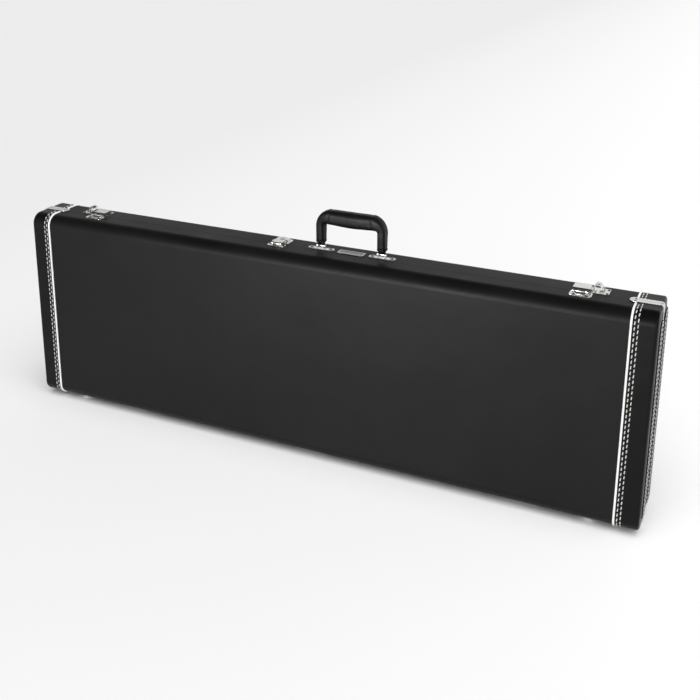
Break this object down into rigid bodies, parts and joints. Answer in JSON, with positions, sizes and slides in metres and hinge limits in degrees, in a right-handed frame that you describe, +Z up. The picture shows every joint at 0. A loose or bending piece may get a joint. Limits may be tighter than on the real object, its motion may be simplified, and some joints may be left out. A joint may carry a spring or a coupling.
{
  "type": "guitar case",
  "caption": "Rectangular hard case for a long-scale electric guitar, black with white-piped leather ends, nickel latches, key lock, feet and a leather handle.",
  "frame": {"origin": "under the middle of the closed case, on the surface that its feet stand on", "axes": "+X along the case, +Y through its thickness from the lid to the back, +Z up from the hinge side to the handle side"},
  "size_m": [1.216, 0.1088, 0.47],
  "materials": {
    "black_vinyl": "pebbled black vinyl, satin",
    "end_leather": "fine-grained black leather, satin",
    "handle_leather": "smooth black leather, stitched, semi-gloss",
    "white_piping": "white vinyl cord",
    "nickel": "bright nickel plate",
    "brushed_plate": "brushed plate with a dark field",
    "steel": "plain steel pin",
    "lock_brass": "nickel-washed brass key barrel",
    "plywood": "birch plywood",
    "lip_board": "black painted board",
    "plush": "burnt orange plush",
    "ribbon": "black satin ribbon"
  },
  "bodies": {
    "body": {"body_frame": "plywood", "body_panel": "plywood", "body_covering": "black_vinyl", "body_lining": "plush", "body_end_cap_left": "end_leather", "body_piping_left": "white_piping", "body_seam_trim_left": "nickel", "body_bumper_left": "end_leather", "body_end_cap_right": "end_leather", "body_piping_right": "white_piping", "body_seam_trim_right": "nickel", "body_bumper_right": "end_leather", "body_hinge_leaves": "nickel", "body_feet": "nickel", "body_rivets": "nickel", "seam_lip": "lip_board", "latch_left_case": "nickel", "handle_bracket_left": "nickel", "handle_pin_left": "steel", "latch_right_case": "nickel", "handle_bracket_right": "nickel", "handle_pin_right": "steel", "lever_pins": "steel", "lock_case": "nickel", "nameplate": "brushed_plate", "hinge_pins": "steel", "accessory_box": "plush", "neck_cradle": "plush", "body_bolsters": "plush"},
    "lid": {"lid_frame": "plywood", "lid_panel": "plywood", "lid_covering": "black_vinyl", "lid_lining": "plush", "lid_end_cap_left": "end_leather", "lid_piping_left": "white_piping", "lid_seam_trim_left": "nickel", "lid_bumper_left": "end_leather", "lid_end_cap_right": "end_leather", "lid_piping_right": "white_piping", "lid_seam_trim_right": "nickel", "lid_bumper_right": "end_leather", "lid_hinge_leaves": "nickel", "lid_feet": "nickel", "lid_rivets": "nickel", "latch_left_lid_plate": "nickel", "latch_right_lid_plate": "nickel", "hasp_pins": "steel", "lock_lid_plate": "nickel", "lid_cushion": "plush"},
    "latch_left_hasp": {"latch_left_hasp": "nickel"},
    "latch_right_hasp": {"latch_right_hasp": "nickel"},
    "latch_left_lever": {"latch_left_lever": "nickel"},
    "latch_right_lever": {"latch_right_lever": "nickel"},
    "lock_hasp": {"lock_hasp": "nickel"},
    "lock_cylinder": {"lock_cylinder": "lock_brass"},
    "handle": {"handle_grip": "handle_leather"},
    "accessory_flap": {"accessory_flap": "plush", "accessory_pull": "ribbon"}
  },
  "joints": [
    {"name": "lid_hinge", "type": "hinge", "parent": "body", "child": "lid", "pos_m": [0, -0.004, 0.00565], "axis": [1, 0, 0], "range_deg": [0, 100]},
    {"name": "latch_left_hasp_hinge", "type": "hinge", "parent": "lid", "child": "latch_left_hasp", "pos_m": [-0.475, -0.012, 0.398], "axis": [1, 0, 0], "range_deg": [0, 120]},
    {"name": "latch_left_lever_pivot", "type": "hinge", "parent": "body", "child": "latch_left_lever", "pos_m": [-0.506, 0.0095, 0.3976], "axis": [0, -1, 0], "range_deg": [0, 95]},
    {"name": "latch_right_hasp_hinge", "type": "hinge", "parent": "lid", "child": "latch_right_hasp", "pos_m": [0.475, -0.012, 0.398], "axis": [1, 0, 0], "range_deg": [0, 120]},
    {"name": "latch_right_lever_pivot", "type": "hinge", "parent": "body", "child": "latch_right_lever", "pos_m": [0.506, 0.0095, 0.3976], "axis": [0, 1, 0], "range_deg": [0, 95]},
    {"name": "lock_hasp_hinge", "type": "hinge", "parent": "lid", "child": "lock_hasp", "pos_m": [-0.076, -0.0125, 0.398], "axis": [1, 0, 0], "range_deg": [0, 120]},
    {"name": "lock_cylinder_turn", "type": "hinge", "parent": "body", "child": "lock_cylinder", "pos_m": [-0.076, 0.0135, 0.398], "axis": [0, 0, 1], "range_deg": [0, 90]},
    {"name": "handle_swing", "type": "hinge", "parent": "body", "child": "handle", "pos_m": [0.065, 0.006, 0.401], "axis": [1, 0, 0], "range_deg": [-78, 78]},
    {"name": "accessory_flap_hinge", "type": "hinge", "parent": "body", "child": "accessory_flap", "pos_m": [0.195, -0.00175, 0.0325], "axis": [1, 0, 0], "range_deg": [0, 18]}
  ]
}
